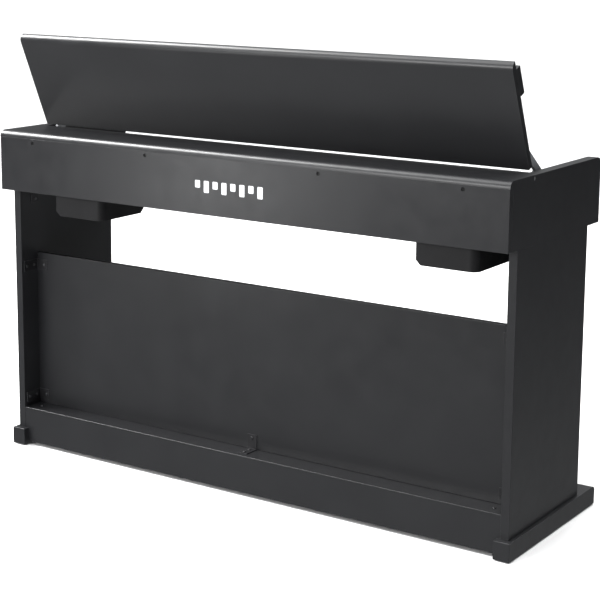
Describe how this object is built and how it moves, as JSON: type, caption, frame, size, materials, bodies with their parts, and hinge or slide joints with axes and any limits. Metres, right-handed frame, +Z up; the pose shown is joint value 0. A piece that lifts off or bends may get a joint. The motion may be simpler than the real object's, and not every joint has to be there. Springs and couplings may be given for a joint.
{
  "type": "digital piano on stand",
  "caption": "Digital piano in a black panel stand with modesty panel, bottom rail, three pedals and a lid on end arms that stands open as the music rest.",
  "frame": {"origin": "bottom centre of the whole object, on the floor between the feet", "axes": "+X towards the player's right (treble), +Y away from the player towards the rear panel, +Z up"},
  "size_m": [1.398, 0.463, 1.0385],
  "materials": {
    "black_laminate": "satin black laminate over board",
    "raw_board": "black-stained particle board",
    "arm_grey": "satin grey paint",
    "black_steel": "black coated steel",
    "zinc_steel": "zinc plated",
    "panel_plastic": "fine-grain black moulding",
    "box_plastic": "fine-grain black moulding",
    "key_frame_plastic": "moulded",
    "felt": "felt",
    "circuit_green": "solder mask",
    "driver_black": "pressed basket and paper cone",
    "grille_black": "perforated",
    "foot_rubber": "matt",
    "button_plastic": "satin",
    "ivory": "semi-gloss",
    "ebony": "fine matt",
    "brass": "polished"
  },
  "bodies": {
    "cabinet": {"left_cheek": "black_laminate", "right_cheek": "black_laminate", "top_board": "black_laminate", "rear_panel": "black_laminate", "key_slip": "black_laminate", "key_blocks": "black_laminate", "left_leg": "black_laminate", "right_leg": "black_laminate", "left_foot": "black_laminate", "right_foot": "black_laminate", "modesty_panel": "black_laminate", "bottom_rail": "black_laminate", "key_bed": "raw_board", "top_cleat": "raw_board", "steel_brackets": "black_steel", "bracket_screws": "black_steel", "case_screws": "zinc_steel", "lid_pivot_pins": "zinc_steel", "key_pivot_rod": "zinc_steel", "pedal_axle": "zinc_steel", "music_shelf": "panel_plastic", "control_panel": "panel_plastic", "pedal_housing": "panel_plastic", "headphone_box": "panel_plastic", "jack_plate": "panel_plastic", "speaker_boxes": "box_plastic", "key_frame": "key_frame_plastic", "key_felts": "felt", "circuit_boards": "circuit_green", "speaker_drivers": "driver_black", "speaker_grilles": "grille_black", "foot_pads": "foot_rubber"},
    "lid": {"lid": "black_laminate", "lid_arms": "arm_grey", "flap_hinge_leaves": "black_steel"},
    "lid_flap": {"lid_flap": "black_laminate", "flap_hinge_wings": "black_steel"},
    "rail_adjuster": {"rail_adjuster": "foot_rubber"},
    "power_button": {"power_button": "button_plastic"},
    "voice_button": {"voice_button": "button_plastic"},
    "volume_knob": {"volume_knob": "button_plastic"},
    "soft_pedal": {"soft_pedal": "brass"},
    "sostenuto_pedal": {"sostenuto_pedal": "brass"},
    "damper_pedal": {"damper_pedal": "brass"},
    "key_c": {"key_c": "ivory"},
    "key_c_sharp": {"key_c_sharp": "ebony"},
    "key_d": {"key_d": "ivory"},
    "key_d_sharp": {"key_d_sharp": "ebony"},
    "key_e": {"key_e": "ivory"},
    "key_f": {"key_f": "ivory"},
    "key_f_sharp": {"key_f_sharp": "ebony"},
    "key_g": {"key_g": "ivory"},
    "key_g_sharp": {"key_g_sharp": "ebony"},
    "key_a": {"key_a": "ivory"},
    "key_a_sharp": {"key_a_sharp": "ebony"},
    "key_b": {"key_b": "ivory"},
    "white_keys_low": {"white_keys_low": "ivory"},
    "black_keys_low": {"black_keys_low": "ebony"},
    "white_keys_high": {"white_keys_high": "ivory"},
    "black_keys_high": {"black_keys_high": "ebony"}
  },
  "joints": [
    {"name": "lid_hinge", "type": "hinge", "parent": "cabinet", "child": "lid", "pos_m": [0, 0.06166, 0.78657], "axis": [1, 0, 0], "range_deg": [0, 113]},
    {"name": "flap_hinge", "type": "hinge", "parent": "lid", "child": "lid_flap", "pos_m": [0, 0.16549, 1.02241], "axis": [-1, 0, 0], "range_deg": [0, 90]},
    {"name": "soft_pedal_hinge", "type": "hinge", "parent": "cabinet", "child": "soft_pedal", "pos_m": [-0.062, 0.1525, 0.052], "axis": [1, 0, 0], "range_deg": [0, 8], "stiffness_Nm_per_rad": 4, "springref_deg": -14.32},
    {"name": "sostenuto_pedal_hinge", "type": "hinge", "parent": "cabinet", "child": "sostenuto_pedal", "pos_m": [0, 0.1525, 0.052], "axis": [1, 0, 0], "range_deg": [0, 8], "stiffness_Nm_per_rad": 4, "springref_deg": -14.32},
    {"name": "damper_pedal_hinge", "type": "hinge", "parent": "cabinet", "child": "damper_pedal", "pos_m": [0.062, 0.1525, 0.052], "axis": [1, 0, 0], "range_deg": [0, 8], "stiffness_Nm_per_rad": 4, "springref_deg": -14.32},
    {"name": "adjuster_turn", "type": "hinge", "parent": "cabinet", "child": "rail_adjuster", "pos_m": [0, 0.10225, 0], "axis": [0, 0, 1], "range_deg": [-180, 180]},
    {"name": "power_button_press", "type": "slide", "parent": "cabinet", "child": "power_button", "axis": [0, 0.1922, -0.9814], "range_m": [0, 0.0015], "stiffness_N_per_m": 400, "springref_m": -0.002},
    {"name": "voice_button_press", "type": "slide", "parent": "cabinet", "child": "voice_button", "axis": [0, 0.1922, -0.9814], "range_m": [0, 0.0015], "stiffness_N_per_m": 400, "springref_m": -0.002},
    {"name": "volume_turn", "type": "hinge", "parent": "cabinet", "child": "volume_knob", "pos_m": [-0.5, -0.00425, 0.775], "axis": [0, -0.1922, 0.9814], "range_deg": [-140, 140]},
    {"name": "press_c", "type": "hinge", "parent": "cabinet", "child": "key_c", "pos_m": [0, 0.014, 0.726], "axis": [1, 0, 0], "range_deg": [0, 2.8], "stiffness_Nm_per_rad": 1, "springref_deg": -11.46},
    {"name": "press_c_sharp", "type": "hinge", "parent": "cabinet", "child": "key_c_sharp", "pos_m": [0, 0.014, 0.726], "axis": [1, 0, 0], "range_deg": [0, 2.8], "stiffness_Nm_per_rad": 1, "springref_deg": -11.46},
    {"name": "press_d", "type": "hinge", "parent": "cabinet", "child": "key_d", "pos_m": [0, 0.014, 0.726], "axis": [1, 0, 0], "range_deg": [0, 2.8], "stiffness_Nm_per_rad": 1, "springref_deg": -11.46},
    {"name": "press_d_sharp", "type": "hinge", "parent": "cabinet", "child": "key_d_sharp", "pos_m": [0, 0.014, 0.726], "axis": [1, 0, 0], "range_deg": [0, 2.8], "stiffness_Nm_per_rad": 1, "springref_deg": -11.46},
    {"name": "press_e", "type": "hinge", "parent": "cabinet", "child": "key_e", "pos_m": [0, 0.014, 0.726], "axis": [1, 0, 0], "range_deg": [0, 2.8], "stiffness_Nm_per_rad": 1, "springref_deg": -11.46},
    {"name": "press_f", "type": "hinge", "parent": "cabinet", "child": "key_f", "pos_m": [0, 0.014, 0.726], "axis": [1, 0, 0], "range_deg": [0, 2.8], "stiffness_Nm_per_rad": 1, "springref_deg": -11.46},
    {"name": "press_f_sharp", "type": "hinge", "parent": "cabinet", "child": "key_f_sharp", "pos_m": [0, 0.014, 0.726], "axis": [1, 0, 0], "range_deg": [0, 2.8], "stiffness_Nm_per_rad": 1, "springref_deg": -11.46},
    {"name": "press_g", "type": "hinge", "parent": "cabinet", "child": "key_g", "pos_m": [0, 0.014, 0.726], "axis": [1, 0, 0], "range_deg": [0, 2.8], "stiffness_Nm_per_rad": 1, "springref_deg": -11.46},
    {"name": "press_g_sharp", "type": "hinge", "parent": "cabinet", "child": "key_g_sharp", "pos_m": [0, 0.014, 0.726], "axis": [1, 0, 0], "range_deg": [0, 2.8], "stiffness_Nm_per_rad": 1, "springref_deg": -11.46},
    {"name": "press_a", "type": "hinge", "parent": "cabinet", "child": "key_a", "pos_m": [0, 0.014, 0.726], "axis": [1, 0, 0], "range_deg": [0, 2.8], "stiffness_Nm_per_rad": 1, "springref_deg": -11.46},
    {"name": "press_a_sharp", "type": "hinge", "parent": "cabinet", "child": "key_a_sharp", "pos_m": [0, 0.014, 0.726], "axis": [1, 0, 0], "range_deg": [0, 2.8], "stiffness_Nm_per_rad": 1, "springref_deg": -11.46},
    {"name": "press_b", "type": "hinge", "parent": "cabinet", "child": "key_b", "pos_m": [0, 0.014, 0.726], "axis": [1, 0, 0], "range_deg": [0, 2.8], "stiffness_Nm_per_rad": 1, "springref_deg": -11.46},
    {"name": "press_white_keys_low", "type": "hinge", "parent": "cabinet", "child": "white_keys_low", "pos_m": [0, 0.014, 0.726], "axis": [1, 0, 0], "range_deg": [0, 2.8], "stiffness_Nm_per_rad": 23, "springref_deg": -11.46},
    {"name": "press_black_keys_low", "type": "hinge", "parent": "cabinet", "child": "black_keys_low", "pos_m": [0, 0.014, 0.726], "axis": [1, 0, 0], "range_deg": [0, 2.8], "stiffness_Nm_per_rad": 16, "springref_deg": -11.46},
    {"name": "press_white_keys_high", "type": "hinge", "parent": "cabinet", "child": "white_keys_high", "pos_m": [0, 0.014, 0.726], "axis": [1, 0, 0], "range_deg": [0, 2.8], "stiffness_Nm_per_rad": 22, "springref_deg": -11.46},
    {"name": "press_black_keys_high", "type": "hinge", "parent": "cabinet", "child": "black_keys_high", "pos_m": [0, 0.014, 0.726], "axis": [1, 0, 0], "range_deg": [0, 2.8], "stiffness_Nm_per_rad": 15, "springref_deg": -11.46}
  ]
}
